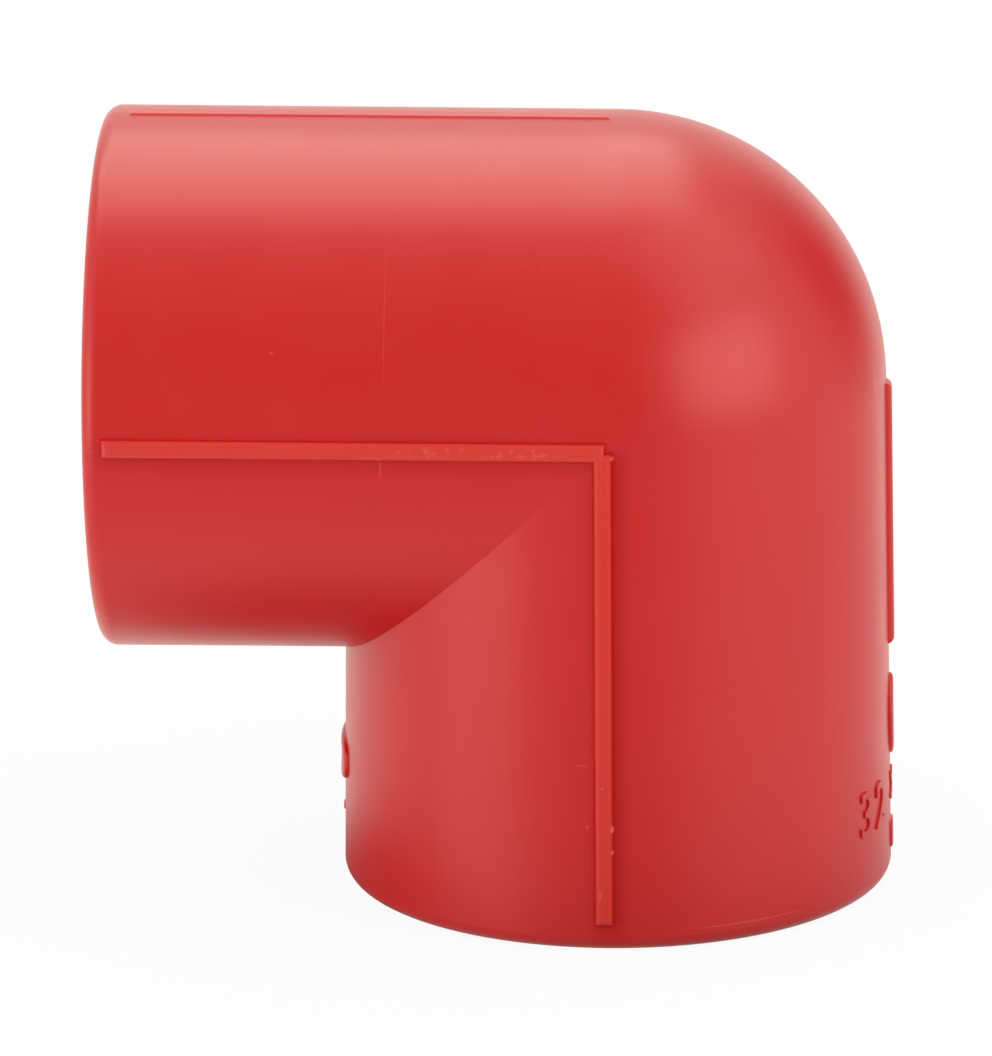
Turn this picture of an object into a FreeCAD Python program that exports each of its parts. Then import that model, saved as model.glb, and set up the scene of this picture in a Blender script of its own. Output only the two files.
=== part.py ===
"""Ninety-degree socket elbow for 32 mm plastic pipe, moulded in one piece.

Two legs of equal length meet at a right angle. Outside, each leg is a plain barrel that ends in a rounded
rim, the outer side of the bend is a quarter of a ball, and the inner side is the sharp mitre where the
barrels cross. Inside, each leg has a pipe socket that ends at a flat stop, and the two stops are joined
by a narrower waterway that turns the corner in a mitre. Raised ribs on the outside are for lining up the
pipes.

Millimetres, +Z up. The origin is the centre of the lower socket's end face, on which the elbow stands.
The level socket opens towards -X, and the front, with one of the two L-shaped pairs of ribs, is -Y.
"""
import FreeCAD, Part
import math
import os

from FreeCAD import Placement, Rotation, Vector

# Pipe sockets, the wall round them and the stops on which the pipes' ends rest
socket_d = 31.2
socket_depth = 18.5
socket_wall = 5.9  # where a leg meets the bend, its thinnest place
stop_width = 4.1
stop_bevel = 0.5
lead_in_depth = 0.8
lead_in_step = 0.4  # how much wider than the socket the mouth is, on the radius

# Legs
centre_to_face = 40.7  # from the crossing of the two axes to each end face
level_leg_draft = 0.1  # degrees by which the leg widens towards its mouth
lower_leg_draft = 0.74
rim_round = 1.2

# Alignment ribs: a narrow flat crest with well rounded edges on steep sides; the one on top is low
rib_crest_w = 1.3  # before its edges are rounded
rib_base_w = 1.6
level_rib_height = 0.5
lower_rib_height = 0.45
top_rib_height = 0.15
rib_edge_round = 0.5
top_rib_edge_round = 0.1
level_rib_end_gap = 1.7  # from an end face to the ribs that run up to it
lower_rib_end_gap = 2.3
top_rib_end_gap = 2.4
side_level_rib_overrun = 0.1  # past the lower leg's axis, on the front and the back
side_lower_rib_drop = 0.1  # below the level leg's axis, on the front and the back
top_rib_start = 0.5  # from the crossing of the axes
outer_rib_start = 0.1
outer_rib_length = 21.3  # the short rib on the outer side of the lower leg

# How deep a rib reaches into the barrel, so that the two are one solid
rib_root = 0.6

bend_outer_d = socket_d + 2 * socket_wall
waterway_d = socket_d - 2 * stop_width
crossing = Vector(0, 0, centre_to_face)
MITRE_NORMAL = Vector(1, 0, -1)
SAME = 1e-4


def outer_radius(draft, distance):
    """Outside radius of a leg at a distance along its axis from the crossing of the axes."""
    return bend_outer_d / 2 + distance * math.tan(math.radians(draft))


def to_level_leg(shape):
    """The same shape on the level leg: the mitre plane swaps +X with +Z and -Z with -X."""
    return shape.mirror(crossing, MITRE_NORMAL)


def quarter_ball(radius):
    """The outer quarter of a ball at the crossing, between the planes where the two legs end."""
    top = crossing + Vector(0, 0, radius)
    arc = Part.Arc(crossing + Vector(0, -radius, 0), top, crossing + Vector(0, radius, 0))
    chord = Part.LineSegment(arc.EndPoint, arc.StartPoint)
    half_disc = Part.Face(Part.Wire([arc.toShape(), chord.toShape()]))
    return half_disc.revolve(crossing, Vector(0, 1, 0), 90)


def leg_barrel(draft):
    """A leg, set upright, as a solid barrel from its end face up to the crossing, with its rim rounded."""
    mouth_radius = outer_radius(draft, centre_to_face)
    barrel = Part.makeCone(mouth_radius, outer_radius(draft, 0), centre_to_face)
    rim = [
        edge
        for edge in barrel.Edges
        if isinstance(edge.Curve, Part.Circle) and abs(edge.Curve.Center.z) < SAME
    ]
    return barrel.makeFillet(rim_round, rim)


def leg_hollow():
    """What is taken out of the lower leg: lead-in, socket, bevelled stop and its half of the waterway."""
    socket_radius = socket_d / 2
    bore_radius = waterway_d / 2
    lead_in = Part.makeCone(socket_radius + lead_in_step, socket_radius, lead_in_depth)
    socket = Part.makeCylinder(socket_radius, socket_depth - lead_in_depth, Vector(0, 0, lead_in_depth))
    bevel = Part.makeCone(bore_radius + stop_bevel, bore_radius, stop_bevel, Vector(0, 0, socket_depth))
    bore = Part.makeCylinder(bore_radius, centre_to_face - socket_depth, Vector(0, 0, socket_depth))
    return lead_in.fuse([socket, bevel, bore])


def waterway_corner():
    """Where the bores of the two legs cross, up to the mitred outer corner of the waterway."""
    bore_radius = waterway_d / 2
    bore = Part.makeCylinder(bore_radius, waterway_d, crossing - Vector(0, 0, bore_radius))
    return bore.common(to_level_leg(bore))


def rib(draft, rib_height, edge_round, start, end):
    """A rib on the outer side (+X) of a leg set upright, between two distances from the crossing.

    It is drawn lying down, with its sides and ends sloping alike: X across, Y outwards, Z along the leg.
    """
    half_crest = rib_crest_w / 2
    slope = (rib_base_w / 2 - half_crest) / rib_height
    spread = slope * (rib_height + rib_root)
    half_root = half_crest + spread
    root_corners = (-half_root, -rib_root, start - spread, start, -half_crest)
    crest_corners = (half_root, rib_height, end + spread, end, half_crest)
    bar = Part.makeWedge(*root_corners, *crest_corners)
    crest_face = max(bar.Faces, key=lambda face: face.CenterOfMass.y)
    bar = bar.makeFillet(edge_round, crest_face.Edges)
    seat = Vector(bend_outer_d / 2, 0, centre_to_face)
    bar.Placement = Placement(seat, Rotation(Vector(0, 1, 0), Vector(1, 0, 0), Vector(0, 0, -1)))
    bar.rotate(seat, Vector(0, 1, 0), -draft)
    return bar


def level_rib(start, end):
    return rib(level_leg_draft, level_rib_height, rib_edge_round, start, end)


def lower_rib(start, end):
    return rib(lower_leg_draft, lower_rib_height, rib_edge_round, start, end)


def top_rib():
    """The low rib on top of the level leg, made on a leg set upright."""
    end = centre_to_face - top_rib_end_gap
    return rib(level_leg_draft, top_rib_height, top_rib_edge_round, top_rib_start, end)


def turned(shape, angle):
    """The shape turned about the lower leg's axis: -90 takes the outer side to the front."""
    copy = shape.copy()
    copy.rotate(Vector(0, 0, 0), Vector(0, 0, 1), angle)
    return copy


def ribs():
    """An L of two ribs on the front and the back, and one rib on the outer side of each leg."""
    level_end = centre_to_face - level_rib_end_gap
    lower_end = centre_to_face - lower_rib_end_gap
    found = [
        lower_rib(outer_rib_start, outer_rib_start + outer_rib_length),
        to_level_leg(top_rib()),
    ]
    for angle in (-90, 90):
        found.append(turned(lower_rib(side_lower_rib_drop, lower_end), angle))
        found.append(to_level_leg(turned(level_rib(-side_level_rib_overrun, level_end), angle)))
    return found


def elbow_body():
    """The whole moulding."""
    lower_leg = leg_barrel(lower_leg_draft)
    level_leg = to_level_leg(leg_barrel(level_leg_draft))
    outside = lower_leg.fuse([level_leg, quarter_ball(bend_outer_d / 2)])
    hollow = leg_hollow()
    inside = hollow.fuse([to_level_leg(hollow), waterway_corner()])
    return outside.fuse(ribs()).cut(inside).removeSplitter()


def main():
    os.makedirs("parts", exist_ok=True)
    body = elbow_body()
    solid = body.Solids[0]
    print("solids", len(body.Solids), "valid", solid.isValid(), "faces", len(solid.Faces))
    print("volume cm3", round(solid.Volume / 1000, 3), "box", solid.BoundBox)
    solid.exportStep("parts/elbow_body.step")


main()
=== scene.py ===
"""Dresses the ninety-degree pipe elbow: satin red moulded plastic, its raised marks, and a plain studio.

Metres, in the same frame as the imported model: +Z up, the level leg along -X, the front at -Y.
"""
import math

import bmesh
import bpy
from mathutils import Matrix, Vector


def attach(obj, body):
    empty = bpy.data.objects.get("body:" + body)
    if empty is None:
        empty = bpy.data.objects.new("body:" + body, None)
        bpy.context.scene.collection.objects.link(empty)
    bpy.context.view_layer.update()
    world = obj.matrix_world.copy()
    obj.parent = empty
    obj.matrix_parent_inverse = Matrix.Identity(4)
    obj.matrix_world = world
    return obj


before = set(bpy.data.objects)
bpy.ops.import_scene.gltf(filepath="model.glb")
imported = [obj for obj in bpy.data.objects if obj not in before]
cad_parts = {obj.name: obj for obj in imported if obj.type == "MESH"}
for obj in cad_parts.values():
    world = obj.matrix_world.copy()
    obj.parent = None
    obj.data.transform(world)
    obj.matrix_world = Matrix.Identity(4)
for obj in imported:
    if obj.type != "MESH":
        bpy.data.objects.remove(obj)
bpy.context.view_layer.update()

MM = 0.001

# The elbow's outside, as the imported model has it
BEND_RADIUS = 21.5 * MM
CENTRE_TO_FACE = 40.7 * MM
LEVEL_DRAFT = math.radians(0.1)
LOWER_DRAFT = math.radians(0.74)
LEVEL_RIB_HEIGHT = 0.5 * MM
LOWER_RIB_HEIGHT = 0.45 * MM
CROSSING = Vector((0, 0, CENTRE_TO_FACE))


# Places on the two legs

def on_lower_leg(angle, height, proud=0.0):
    """A point on the lower leg: angle in degrees from the front towards +X, height above the base."""
    radius = BEND_RADIUS + (CENTRE_TO_FACE - height) * math.tan(LOWER_DRAFT) + proud
    turn = math.radians(angle)
    return Vector((radius * math.sin(turn), -radius * math.cos(turn), height))


def on_level_leg(angle, distance, proud=0.0):
    """A point on the level leg: angle in degrees from the front upwards, distance from the crossing."""
    radius = BEND_RADIUS + distance * math.tan(LEVEL_DRAFT) + proud
    turn = math.radians(angle)
    return CROSSING + Vector((-distance, -radius * math.cos(turn), radius * math.sin(turn)))


def degrees_per_metre(height):
    """How far one metre of arc turns round the lower leg at a height above the base."""
    return 180 / (math.pi * on_lower_leg(0, height).xy.length)


# Node helpers

def add_node(tree, kind, inputs=None, **settings):
    node = tree.nodes.new(kind)
    for name, value in settings.items():
        setattr(node, name, value)
    for name, value in (inputs or {}).items():
        if isinstance(value, bpy.types.NodeSocket):
            tree.links.new(value, node.inputs[name])
        else:
            node.inputs[name].default_value = value
    return node


def math_node(tree, operation, first, second=0.0, clamp=False):
    settings = {"operation": operation, "use_clamp": clamp}
    return add_node(tree, "ShaderNodeMath", {0: first, 1: second}, **settings).outputs[0]


def times(tree, *factors):
    product = factors[0]
    for factor in factors[1:]:
        product = math_node(tree, "MULTIPLY", product, factor)
    return product


def one_minus(tree, value):
    return math_node(tree, "SUBTRACT", 1.0, value)


def vector_node(tree, operation, first, second=(0.0, 0.0, 0.0)):
    return add_node(tree, "ShaderNodeVectorMath", {0: first, 1: second}, operation=operation)


def noise(tree, place, scale, detail=3.0):
    inputs = {"Vector": place, "Scale": scale, "Detail": detail}
    return add_node(tree, "ShaderNodeTexNoise", inputs).outputs["Fac"]


def map_range(tree, value, low, high, to_low=0.0, to_high=1.0, shape="LINEAR"):
    inputs = {"Value": value, "From Min": low, "From Max": high, "To Min": to_low, "To Max": to_high}
    return add_node(tree, "ShaderNodeMapRange", inputs, interpolation_type=shape).outputs["Result"]


def mix_colour(tree, factor, first, second):
    inputs = {0: factor, 6: first, 7: second}
    return add_node(tree, "ShaderNodeMix", inputs, data_type="RGBA").outputs[2]


def mix_value(tree, factor, first, second):
    return add_node(tree, "ShaderNodeMix", {0: factor, 2: first, 3: second}).outputs[0]


def mix_shader(tree, factor, first, second):
    return add_node(tree, "ShaderNodeMixShader", {0: factor, 1: first, 2: second}).outputs[0]


def distance_from(tree, place, centre, spread):
    """How far a place is from a centre, with the spread along X, Y and Z as the unit."""
    offset = vector_node(tree, "SUBTRACT", place, centre).outputs[0]
    scaled = vector_node(tree, "DIVIDE", offset, spread).outputs[0]
    return vector_node(tree, "LENGTH", scaled).outputs["Value"]


def new_material(name):
    material = bpy.data.materials.new(name)
    material.use_nodes = True
    tree = material.node_tree
    return material, tree, tree.nodes["Principled BSDF"]


# The red plastic

DEEP_RED = (0.600, 0.0085, 0.0080, 1.0)
CLEAR_RED = (0.640, 0.0115, 0.0100, 1.0)
# CREST_RED is painted light on the ribs' crests, and FOOT_RED painted shade at the long ribs' feet
CREST_RED = (0.715, 0.039, 0.030, 1.0)
FOOT_RED = (0.360, 0.002, 0.003, 1.0)
SCUFFED_RED = (0.820, 0.130, 0.095, 1.0)
PLASTIC_IOR = 1.49
SPECULAR = 0.50
ROUGHNESS = (0.30, 0.34)
SHEEN_NOISE = (0.3, 0.7)  # the noise that gives the least and the most roughness

# How fine each noise is, and how deep the bump made from the waves and the grain
CLOUD_SCALE = 60.0
WAVE_SCALE = 90.0
SHEEN_SCALE = 220.0
SPECK_SCALE = 2300.0
GRAIN_SCALE = 5200.0
GRAIN_RELIEF = 0.05  # beside 1 for the waves
BUMP_STRENGTH = 0.10
BUMP_DEPTH = 0.2 * MM

# Small marks: where each is, half its size in mm along X, Y and Z, and how strongly it shows
HAIRLINES = (
    (on_level_leg(28, 17.05 * MM), (0.05, 12.0, 6.8), 0.22),
    (on_level_leg(38, 4.75 * MM), (0.05, 9.0, 3.2), 0.08),
    (on_level_leg(-0.7, 39.8 * MM), (0.70, 1.0, 0.06), 0.12),
)
NICKS = (
    (on_level_leg(20.3, 25.8 * MM), (0.16, 0.5, 0.12), 0.50),
    (on_level_leg(-4, 17.3 * MM), (0.09, 1.5, 0.80), 0.28),
    (on_lower_leg(-3.5, 10.3 * MM), (0.13, 0.5, 0.12), 0.50),
    (on_lower_leg(-4.7, 15.28 * MM), (0.50, 0.5, 0.06), 0.50),
    (on_level_leg(-1.5, 17.45 * MM, LEVEL_RIB_HEIGHT), (0.26, 0.6, 0.09), 0.50),
    (on_lower_leg(-0.3, 13.6 * MM, LOWER_RIB_HEIGHT), (0.14, 0.6, 0.14), 0.50),
    (on_lower_leg(31, 1.65 * MM), (5.6, 12.0, 0.09), 0.30),
    (on_lower_leg(-0.7, 4.8 * MM, LOWER_RIB_HEIGHT), (0.14, 0.6, 0.35), 0.50),
)
RIB_BURRS = (
    (on_lower_leg(1.75, 10.2 * MM, 0.3 * MM), (0.17, 0.6, 0.36), 0.95),
    (on_lower_leg(1.75, 8.3 * MM, 0.3 * MM), (0.14, 0.6, 0.22), 0.95),
    (on_lower_leg(2.0, 40.3 * MM, 0.3 * MM), (0.16, 0.6, 0.20), 0.95),
)
MARK_CORE = 0.6  # the share of a mark's size that shows in full

# The worn stretch of the level rib's crest, half its size in mm, and the noise that shows as pale specks
SCUFFED_CENTRE = on_level_leg(0, 9.6 * MM, LEVEL_RIB_HEIGHT)
SCUFFED_HALF = (8.6, 0.14, 0.62)
SPECK_NOISE = (0.52, 0.68)
SPECK_STRENGTH = 0.45

# How far out of the barrels each mask of the ribs begins, and how far out it is full
OUTSIDE = (-0.4 * MM, -0.2 * MM)
FLANK = (0.02 * MM, 0.10 * MM)
LONG_CREST = (0.25 * MM, 0.43 * MM)
TOP_CREST = (0.03 * MM, 0.10 * MM)
TOP_ZONE = (0.8 * BEND_RADIUS, 0.9 * BEND_RADIUS)  # above the crossing

# How dull the flanks are, and how the grain breaks up the painted light on the crests
FLANK_DULLING = 0.8
CREST_LIGHT_GRAIN = (0.2, 0.8)
LEAST_CREST_LIGHT = 0.85

# The shade beside the long ribs, off centre towards the side that faces away from the light
SHADE_OFFSET = 0.45 * MM
SHADE_CORE = 0.5 * MM
SHADE_REACH = 1.8 * MM
SHADE_START = (-0.5 * MM, 0.5 * MM)
SHADE_END = (38.0 * MM, CENTRE_TO_FACE)
SHADE_STRENGTH = 0.38
SHADE_SPECULAR = 0.28
LEVEL_RIB_SHADE = 0.6  # as a share of the lower rib's
SHADE_ANYWHERE = 0.15  # the shade from which a place counts as on or beside a long rib


def ellipsoid(tree, place, centre, half_size_mm):
    """A mask that is 1 inside a soft-edged ellipsoid."""
    distance = distance_from(tree, place, centre, Vector(half_size_mm) * MM)
    return map_range(tree, distance, MARK_CORE, 1.0, 1.0, 0.0)


def marks(tree, place):
    """Mask of the hairlines, the nicks and the burrs."""
    found = 0.0
    for centre, half_size_mm, strength in HAIRLINES + NICKS + RIB_BURRS:
        mark = times(tree, ellipsoid(tree, place, centre, half_size_mm), strength)
        found = math_node(tree, "MAXIMUM", mark, found)
    return found


def rib_scuffs(tree, place):
    """Mask of the pale specks on the crest of the level rib, thickest near the bend."""
    crest = ellipsoid(tree, place, SCUFFED_CENTRE, SCUFFED_HALF)
    speck_noise = noise(tree, place, SPECK_SCALE, detail=2.0)
    return times(tree, crest, map_range(tree, speck_noise, *SPECK_NOISE, 0.0, SPECK_STRENGTH))


def out_of_leg(tree, sideways, depth, along, draft):
    """How far a point stands out of one leg's barrel, which ends in a ball at the crossing.

    Sideways and depth are measured square to the leg's axis, and along is measured down the leg.
    """
    past_crossing = math_node(tree, "MINIMUM", along, 0.0)
    down_leg = math_node(tree, "MAXIMUM", along, 0.0)
    offset = add_node(tree, "ShaderNodeCombineXYZ", {"X": sideways, "Y": depth, "Z": past_crossing})
    distance = vector_node(tree, "LENGTH", offset.outputs[0]).outputs["Value"]
    radius = math_node(tree, "ADD", times(tree, down_leg, math.tan(draft)), BEND_RADIUS)
    return math_node(tree, "SUBTRACT", distance, radius)


def beside_rib(tree, across, along):
    """Mask of a band a little wider than a long rib, given the places across the rib and down its leg."""
    off_centre = math_node(tree, "ABSOLUTE", math_node(tree, "SUBTRACT", across, SHADE_OFFSET))
    band = map_range(tree, off_centre, SHADE_CORE, SHADE_REACH, 1.0, 0.0)
    started = map_range(tree, along, *SHADE_START)
    not_ended = map_range(tree, along, *SHADE_END, 1.0, 0.0)
    return times(tree, started, not_ended, band)


def rib_masks(tree, place):
    """Masks of the ribs' crests, of the long ribs' flanks, and of the shade at the long ribs' feet."""
    from_crossing = vector_node(tree, "SUBTRACT", place, CROSSING).outputs[0]
    x, y, z = add_node(tree, "ShaderNodeSeparateXYZ", {"Vector": from_crossing}).outputs
    down_level_leg = times(tree, x, -1.0)
    down_lower_leg = times(tree, z, -1.0)
    out_of_level_leg = out_of_leg(tree, z, y, down_level_leg, LEVEL_DRAFT)
    out_of_lower_leg = out_of_leg(tree, x, y, down_lower_leg, LOWER_DRAFT)
    proud = math_node(tree, "MINIMUM", out_of_level_leg, out_of_lower_leg)

    top_crest = times(tree, map_range(tree, proud, *TOP_CREST), map_range(tree, z, *TOP_ZONE))
    crests = math_node(tree, "MAXIMUM", map_range(tree, proud, *LONG_CREST), top_crest)
    beside_level = times(tree, beside_rib(tree, down_lower_leg, down_level_leg), LEVEL_RIB_SHADE)
    beside = math_node(tree, "MAXIMUM", beside_level, beside_rib(tree, x, down_lower_leg))
    on_long_rib = map_range(tree, beside, 0.0, SHADE_ANYWHERE)
    flanks = times(tree, map_range(tree, proud, *FLANK), one_minus(tree, crests), on_long_rib)
    feet = times(tree, map_range(tree, proud, *OUTSIDE), beside)
    return crests, flanks, feet


def rib_light_and_shade(tree, shader, place, grain, colour):
    """Sets the gloss round the ribs, and returns the colour there with painted light on the crests and
    painted shade at the long ribs' feet.
    """
    crests, flanks, feet = rib_masks(tree, place)
    beside_gloss = map_range(tree, feet, 0.0, 1.0, SPECULAR, SHADE_SPECULAR)
    undulled = one_minus(tree, times(tree, flanks, FLANK_DULLING))
    tree.links.new(times(tree, beside_gloss, undulled), shader.inputs["Specular IOR Level"])
    colour = mix_colour(tree, times(tree, feet, SHADE_STRENGTH), colour, FOOT_RED)
    crest_light = times(tree, crests, map_range(tree, grain, *CREST_LIGHT_GRAIN, LEAST_CREST_LIGHT, 1.0))
    return mix_colour(tree, crest_light, colour, CREST_RED)


def moulded_red(name, marks_and_painted_light):
    """Satin red plastic: faint flow clouds and a fine mould texture, and if asked, marks and painted rib
    light and shade.
    """
    material, tree, shader = new_material(name)
    place = add_node(tree, "ShaderNodeTexCoord").outputs["Object"]
    grain = noise(tree, place, GRAIN_SCALE, detail=2.0)
    waves = noise(tree, place, WAVE_SCALE, detail=1.0)
    relief = math_node(tree, "ADD", times(tree, grain, GRAIN_RELIEF), waves)
    colour = mix_colour(tree, noise(tree, place, CLOUD_SCALE, detail=2.0), DEEP_RED, CLEAR_RED)
    if marks_and_painted_light:
        colour = rib_light_and_shade(tree, shader, place, grain, colour)
        bruises = math_node(tree, "MAXIMUM", marks(tree, place), rib_scuffs(tree, place))
        colour = mix_colour(tree, bruises, colour, SCUFFED_RED)
        relief = math_node(tree, "ADD", relief, bruises)
    tree.links.new(colour, shader.inputs["Base Color"])
    sheen = map_range(tree, noise(tree, place, SHEEN_SCALE), *SHEEN_NOISE, *ROUGHNESS)
    tree.links.new(sheen, shader.inputs["Roughness"])
    shader.inputs["IOR"].default_value = PLASTIC_IOR
    inputs = {"Height": relief, "Strength": BUMP_STRENGTH, "Distance": BUMP_DEPTH}
    bump = add_node(tree, "ShaderNodeBump", inputs)
    tree.links.new(bump.outputs["Normal"], shader.inputs["Normal"])
    return material


# Raised marks on the lower leg

OUTER_SIDE = 90  # degrees from the front
INNER_SIDE = -90
OVAL = 2.0
BOXY = 3.0
BOXIER = 4.0

# Pads: the name, the side, the squareness, and in mm the height of the middle, half sizes and how proud
PADS = (
    ("outer_pad", OUTER_SIDE, OVAL, 13.15, 1.4, 3.35, 0.33),
    ("outer_bar", OUTER_SIDE, BOXIER, 3.2, 1.2, 1.2, 0.20),
    ("inner_pad", INNER_SIDE, BOXY, 9.7, 4.8, 1.75, 0.36),
    ("inner_dot", INNER_SIDE, OVAL, 4.9, 0.5, 0.4, 0.15),
)
PAD_SIDES = 40

# A pad's rolled edge, from its top outwards: the shares of its half size and of how proud it is
PAD_PROFILE = ((0.72, 1.0), (0.88, 0.93), (0.96, 0.72), (1.0, 0.35), (1.0, -0.6))

NUMERALS = "32 × 32"
NUMERALS_MIDDLE = 7.05 * MM
NUMERAL_HEIGHT = 3.7 * MM
NUMERAL_PROUD = 0.16 * MM
NUMERAL_ROOT = 0.2 * MM
NUMERAL_EDGE_ROLL = 0.06 * MM
NUMERAL_SPACING = 1.22
CAPITAL_SHARE = 0.70  # of the font's size
SHARP_EDGE = math.radians(40)


def add_piece(name, mesh, material):
    piece = bpy.data.objects.new(name, mesh)
    bpy.context.scene.collection.objects.link(piece)
    mesh.materials.clear()
    mesh.materials.append(material)
    for polygon in mesh.polygons:
        polygon.use_smooth = True
    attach(piece, "root")


def rounded_outline(squareness):
    """Points round an outline that fits a square of half size 1: an oval at 2, and boxier above it."""
    for side in range(PAD_SIDES):
        turn = 2 * math.pi * side / PAD_SIDES
        across = math.copysign(abs(math.cos(turn)) ** (2 / squareness), math.cos(turn))
        along = math.copysign(abs(math.sin(turn)) ** (2 / squareness), math.sin(turn))
        yield across, along


def raised_pad(name, material, angle, squareness, height, half_width, half_height, proud):
    """A low plate with a rolled edge, laid on the lower leg."""
    half_turn = degrees_per_metre(height) * half_width
    shape = bmesh.new()
    rings = []
    for scale, rise in PAD_PROFILE:
        ring = []
        for across, along in rounded_outline(squareness):
            ring_angle = angle + half_turn * scale * across
            ring_height = height + half_height * scale * along
            ring.append(shape.verts.new(on_lower_leg(ring_angle, ring_height, proud * rise)))
        rings.append(ring)
    middle = shape.verts.new(on_lower_leg(angle, height, proud))
    for side in range(PAD_SIDES):
        following = (side + 1) % PAD_SIDES
        shape.faces.new((middle, rings[0][side], rings[0][following]))
        for inner, outer in zip(rings, rings[1:]):
            shape.faces.new((inner[side], outer[side], outer[following], inner[following]))
    bmesh.ops.recalc_face_normals(shape, faces=shape.faces)
    mesh = bpy.data.meshes.new(name)
    shape.to_mesh(mesh)
    shape.free()
    add_piece(name, mesh, material)


def numeral_mesh(name):
    """The numerals as a flat slab with rolled edges, half of it above its middle and half below."""
    curve = bpy.data.curves.new(name, "FONT")
    curve.body = NUMERALS
    curve.size = NUMERAL_HEIGHT / CAPITAL_SHARE
    curve.space_character = NUMERAL_SPACING
    curve.align_x = "CENTER"
    curve.align_y = "CENTER"
    curve.extrude = (NUMERAL_PROUD + NUMERAL_ROOT) / 2 - NUMERAL_EDGE_ROLL
    curve.bevel_depth = NUMERAL_EDGE_ROLL
    curve.bevel_resolution = 1
    holder = bpy.data.objects.new(name, curve)
    mesh = bpy.data.meshes.new_from_object(holder)
    bpy.data.objects.remove(holder)
    return mesh


def raised_numerals(name, material):
    """Plain numerals wrapped round the outer side of the lower leg."""
    mesh = numeral_mesh(name)
    turn_per_metre = degrees_per_metre(NUMERALS_MIDDLE)
    for vertex in mesh.vertices:
        across, along, out = vertex.co
        stand_out = out + (NUMERAL_PROUD - NUMERAL_ROOT) / 2
        vertex.co = on_lower_leg(OUTER_SIDE + turn_per_metre * across, NUMERALS_MIDDLE + along, stand_out)
    add_piece(name, mesh, material)
    mesh.set_sharp_from_angle(angle=SHARP_EDGE)


def raised_marks(material):
    raised_numerals("size_numerals", material)
    for name, side, squareness, *sizes_mm in PADS:
        raised_pad(name, material, side, squareness, *[size * MM for size in sizes_mm])


# The studio

WHITE = (1.0, 1.0, 1.0, 1.0)
EVEN_LIGHT = 0.87

# The room as the plastic mirrors it, and its dim places: towards where, how wide in X, Y and Z, how bright
ROOM_TINT = (1.0, 0.99, 0.93, 1.0)
ROOM_LEVEL = 1.12
DIM_PLACES = (
    ((0.05, -1.0, 0.26), (0.65, 1.2, 1.05), 0.0),
    ((0.74, 0.62, 0.24), (0.4, 0.4, 0.5), 0.10),
)
DIM_CORE = 0.2
DIM_EDGE = 1.45

# Softboxes: the name, azimuth and elevation in degrees, width, height, and how bright beside a white card
MIRRORED_SOFTBOXES = (
    ("overhead_sheen", 199, 65, 1.15, 1.12, 2.7),
    ("shoulder_sheen", 72, 61, 1.0, 0.8, 0.9),
    ("right_sheen", 53, 15, 1.0, 0.72, 2.3),
    ("left_sheen", -57, 0, 0.8, 0.7, 1.9),
)
FILL_SOFTBOXES = (
    ("left_fill", -50, 12, 1.0, 1.0, 0.8),
    ("right_fill", 75, 38, 1.0, 1.0, 0.8),
)
SOFTBOX_DISTANCE = 1.2
SOFTBOX_TINT = (0.74, 0.99, 0.87)

# The floor: how pale where it lights the elbow, far off and close by, where a painted shade stands for the
# elbow's shadow, and where it is seen
FLOOR_RADIUS = 3.0
FLOOR_SIDES = 96
FLOOR_ROUGHNESS = 0.9
FLOOR_LIT = 0.95
FLOOR_LIT_NEAR = 0.35
NEAR_CENTRE = Vector((8, -14, 0)) * MM
NEAR_REACH = Vector((26, 34, 34)) * MM
FLOOR_SEEN = 0.97
FLOOR_WHITE_SHARE = 0.92

# Where the floor mirrors dim in the plastic: the centre, how wide along X, Y and Z, and how bright
FLOOR_SHADES = (
    (Vector((0, 0, 0)), Vector((36, 36, 36)) * MM, 0.55),
    (Vector((-27, -8, 0)) * MM, Vector((18, 19, 22)) * MM, 0.16),
)

# The camera, where the photograph's stood; angles in radians
CAMERA_AZIMUTH = 0.0628
CAMERA_ELEVATION = 0.2861
CAMERA_ROLL = -0.0080
CAMERA_DISTANCE = 38.0 * BEND_RADIUS
CAMERA_TARGET = CROSSING + BEND_RADIUS * Vector((-0.4499, 0, -0.5799))
IMAGE_LONG_SIDE_PX = 1056
FOCAL_PX = 10208.9
SENSOR_MM = 36.0
CLIP_START = 0.05
CLIP_END = 20


def direction(azimuth, elevation):
    """From the object towards a place round it: azimuth 0 is the front, and it grows towards +X."""
    level = math.cos(elevation)
    return Vector((math.sin(azimuth) * level, -math.cos(azimuth) * level, math.sin(elevation)))


def camera():
    back = direction(CAMERA_AZIMUTH, CAMERA_ELEVATION)
    right = (-back).cross(Vector((0, 0, 1))).normalized()
    up = right.cross(-back)
    axes = Matrix((right, up, back)).transposed() @ Matrix.Rotation(CAMERA_ROLL, 3, "Z")
    data = bpy.data.cameras.new("camera")
    data.sensor_width = SENSOR_MM
    data.lens = FOCAL_PX * SENSOR_MM / IMAGE_LONG_SIDE_PX
    data.clip_start = CLIP_START
    data.clip_end = CLIP_END
    holder = bpy.data.objects.new("camera", data)
    bpy.context.scene.collection.objects.link(holder)
    holder.matrix_world = Matrix.Translation(CAMERA_TARGET + back * CAMERA_DISTANCE) @ axes.to_4x4()
    bpy.context.scene.camera = holder


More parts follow.
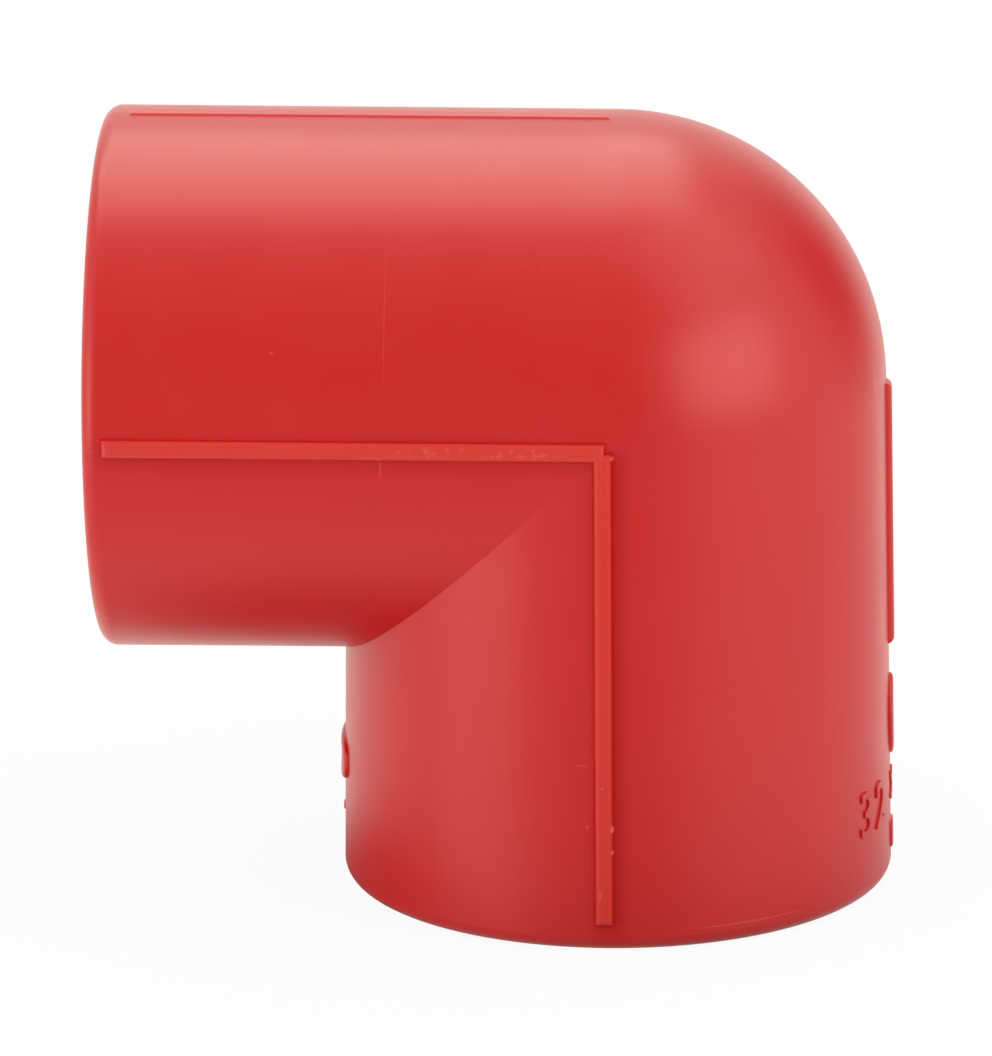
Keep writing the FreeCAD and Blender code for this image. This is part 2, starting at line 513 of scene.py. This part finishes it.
def softbox(name, azimuth, elevation, width, height, radiance, mirrored):
    """A soft rectangular lamp that faces the elbow, and is either mirrored by it or lights it evenly."""
    data = bpy.data.lights.new(name, "AREA")
    data.shape = "RECTANGLE"
    data.size = width
    data.size_y = height
    data.energy = radiance * math.pi * width * height
    lamp = bpy.data.objects.new(name, data)
    bpy.context.scene.collection.objects.link(lamp)
    away = direction(math.radians(azimuth), math.radians(elevation))
    lamp.location = CROSSING + away * SOFTBOX_DISTANCE
    lamp.rotation_mode = "QUATERNION"
    lamp.rotation_quaternion = away.to_track_quat("Z", "Y")
    lamp.visible_camera = False
    lamp.visible_diffuse = not mirrored
    lamp.visible_glossy = mirrored
    if mirrored:
        data.color = SOFTBOX_TINT


def nearness(tree, place, centre, spread):
    """1 close to a centre, fading to 0 a little further out than the spread."""
    distance = distance_from(tree, place, centre, spread)
    return map_range(tree, distance, DIM_CORE, DIM_EDGE, 1.0, 0.0, "SMOOTHSTEP")


def seen_directly(tree, path):
    """1 for what the camera sees, straight or through glass."""
    return math_node(tree, "ADD", path["Is Camera Ray"], path["Is Transmission Ray"], clamp=True)


def mirrored_room(tree):
    """The room as the plastic mirrors it: pale, and dim in front, where the camera stands."""
    toward = add_node(tree, "ShaderNodeTexCoord").outputs["Generated"]
    light = ROOM_LEVEL
    for centre, spread, level in DIM_PLACES:
        light = mix_value(tree, nearness(tree, toward, centre, spread), light, level)
    return light


def studio_world():
    """White where it is seen, even where it lights, and the room where it is mirrored."""
    world = bpy.data.worlds.new("studio")
    bpy.context.scene.world = world
    world.use_nodes = True
    tree = world.node_tree
    tree.nodes.clear()
    path = add_node(tree, "ShaderNodeLightPath").outputs
    seen = seen_directly(tree, path)
    strength = mix_value(tree, path["Is Glossy Ray"], EVEN_LIGHT, mirrored_room(tree))
    strength = mix_value(tree, seen, strength, 1.0)
    colour = mix_colour(tree, seen, ROOM_TINT, WHITE)
    light = add_node(tree, "ShaderNodeBackground", {"Color": colour, "Strength": strength})
    add_node(tree, "ShaderNodeOutputWorld", {"Surface": light.outputs[0]})


def mirrored_floor(tree, place):
    """The floor as the plastic mirrors it: clear to the room behind it, and dimmer near the elbow."""
    mirrored = add_node(tree, "ShaderNodeBsdfTransparent").outputs[0]
    for centre, spread, level in FLOOR_SHADES:
        shade = add_node(tree, "ShaderNodeEmission", {"Color": WHITE, "Strength": level}).outputs[0]
        mirrored = mix_shader(tree, nearness(tree, place, centre, spread), mirrored, shade)
    return mirrored


def studio_floor():
    """White with a soft shadow where it is seen, and dim close to the elbow where it is mirrored."""
    material, tree, shader = new_material("floor_white")
    path = add_node(tree, "ShaderNodeLightPath").outputs
    seen = seen_directly(tree, path)
    place = add_node(tree, "ShaderNodeTexCoord").outputs["Object"]
    # Painted shade on the floor close to the elbow, where the floor lights the elbow
    lit = mix_value(tree, nearness(tree, place, NEAR_CENTRE, NEAR_REACH), FLOOR_LIT, FLOOR_LIT_NEAR)
    tree.links.new(mix_value(tree, seen, lit, FLOOR_SEEN), shader.inputs["Base Color"])
    shader.inputs["Roughness"].default_value = FLOOR_ROUGHNESS
    shader.inputs["Specular IOR Level"].default_value = 0.0
    white = add_node(tree, "ShaderNodeEmission", {"Color": WHITE, "Strength": 1.0}).outputs[0]
    surface = mix_shader(tree, times(tree, seen, FLOOR_WHITE_SHARE), shader.outputs[0], white)
    surface = mix_shader(tree, path["Is Glossy Ray"], surface, mirrored_floor(tree, place))
    tree.links.new(surface, tree.nodes["Material Output"].inputs["Surface"])
    return material


def floor():
    bpy.ops.mesh.primitive_circle_add(
        vertices=FLOOR_SIDES, radius=FLOOR_RADIUS, fill_type="NGON", location=(0, 0, 0)
    )
    ground = bpy.context.object
    ground.name = "floor"
    ground.data.materials.append(studio_floor())


def studio():
    bpy.context.scene.view_settings.view_transform = "Standard"
    camera()
    studio_world()
    floor()
    for settings in MIRRORED_SOFTBOXES:
        softbox(*settings, mirrored=True)
    for settings in FILL_SOFTBOXES:
        softbox(*settings, mirrored=False)


def main():
    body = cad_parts["elbow_body"]
    body.data.materials.clear()
    body.data.materials.append(moulded_red("red_plastic_moulded", marks_and_painted_light=True))
    raised_marks(moulded_red("red_plastic_marks", marks_and_painted_light=False))
    studio()


main()
